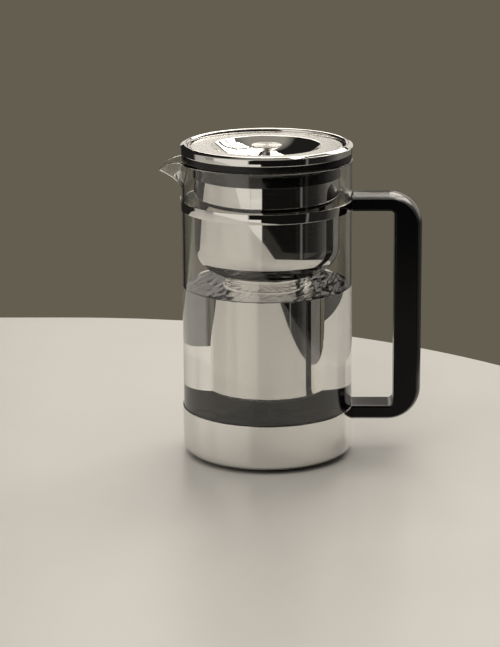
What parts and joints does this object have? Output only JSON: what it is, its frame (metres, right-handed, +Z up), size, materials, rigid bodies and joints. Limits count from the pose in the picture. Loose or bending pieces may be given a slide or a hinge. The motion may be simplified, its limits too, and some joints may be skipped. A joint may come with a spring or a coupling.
{
  "type": "water filter pitcher",
  "caption": "Glass filter jug with a polished steel base cup and neck band, a black D handle, a lift-out steel filter insert with a drop-in cartridge, and a dished steel lid.",
  "frame": {"origin": "on the jug's axis, at the flat underside that stands on the table", "axes": "+Z up along the jug's axis, +X towards the handle, spout towards -X"},
  "size_m": [0.2181, 0.1436, 0.2645],
  "materials": {
    "clear_glass": "clear, fire-polished rim",
    "polished_steel": "polished to a mirror",
    "plain_steel": "plain mill finish",
    "black_handle": "fine satin moulding",
    "black_silicone": "smooth moulded silicone",
    "clear_silicone": "milky translucent silicone",
    "black_collar": "glossy moulding",
    "cartridge_plastic": "matt food-grade moulding",
    "filter_mesh": "fine woven mesh",
    "resin_beads": "small amber beads",
    "charcoal": "shell charcoal granules"
  },
  "bodies": {
    "jug": {"glass_jar": "clear_glass", "base_cup": "polished_steel", "base_cushion": "clear_silicone", "foot_pad": "black_silicone", "neck_band": "polished_steel", "handle": "black_handle", "upper_bracket": "plain_steel", "lower_bracket": "plain_steel", "handle_screws": "plain_steel"},
    "insert": {"reservoir_bowl": "polished_steel", "reservoir_wall": "polished_steel", "rim_ring": "polished_steel", "filter_housing": "polished_steel", "rim_gasket": "black_silicone", "bowl_collar": "black_collar"},
    "lid": {"lid_disc": "polished_steel", "lid_seal": "black_silicone", "lid_knob": "polished_steel", "knob_washer": "plain_steel", "knob_screw": "plain_steel"},
    "cartridge": {"cartridge_shell": "cartridge_plastic", "cartridge_cap": "cartridge_plastic", "cartridge_seal": "black_silicone", "outlet_mesh": "filter_mesh", "resin_bed": "resin_beads", "bed_divider": "filter_mesh", "carbon_bed": "charcoal", "inlet_mesh": "filter_mesh"}
  },
  "joints": [
    {"name": "insert_lift", "type": "slide", "parent": "jug", "child": "insert", "axis": [0, 0, 1], "range_m": [0, 0.205]},
    {"name": "lid_lift", "type": "slide", "parent": "insert", "child": "lid", "axis": [0, 0, 1], "range_m": [0, 0.06]},
    {"name": "cartridge_lift", "type": "slide", "parent": "insert", "child": "cartridge", "axis": [0, 0, 1], "range_m": [0, 0.065]}
  ]
}
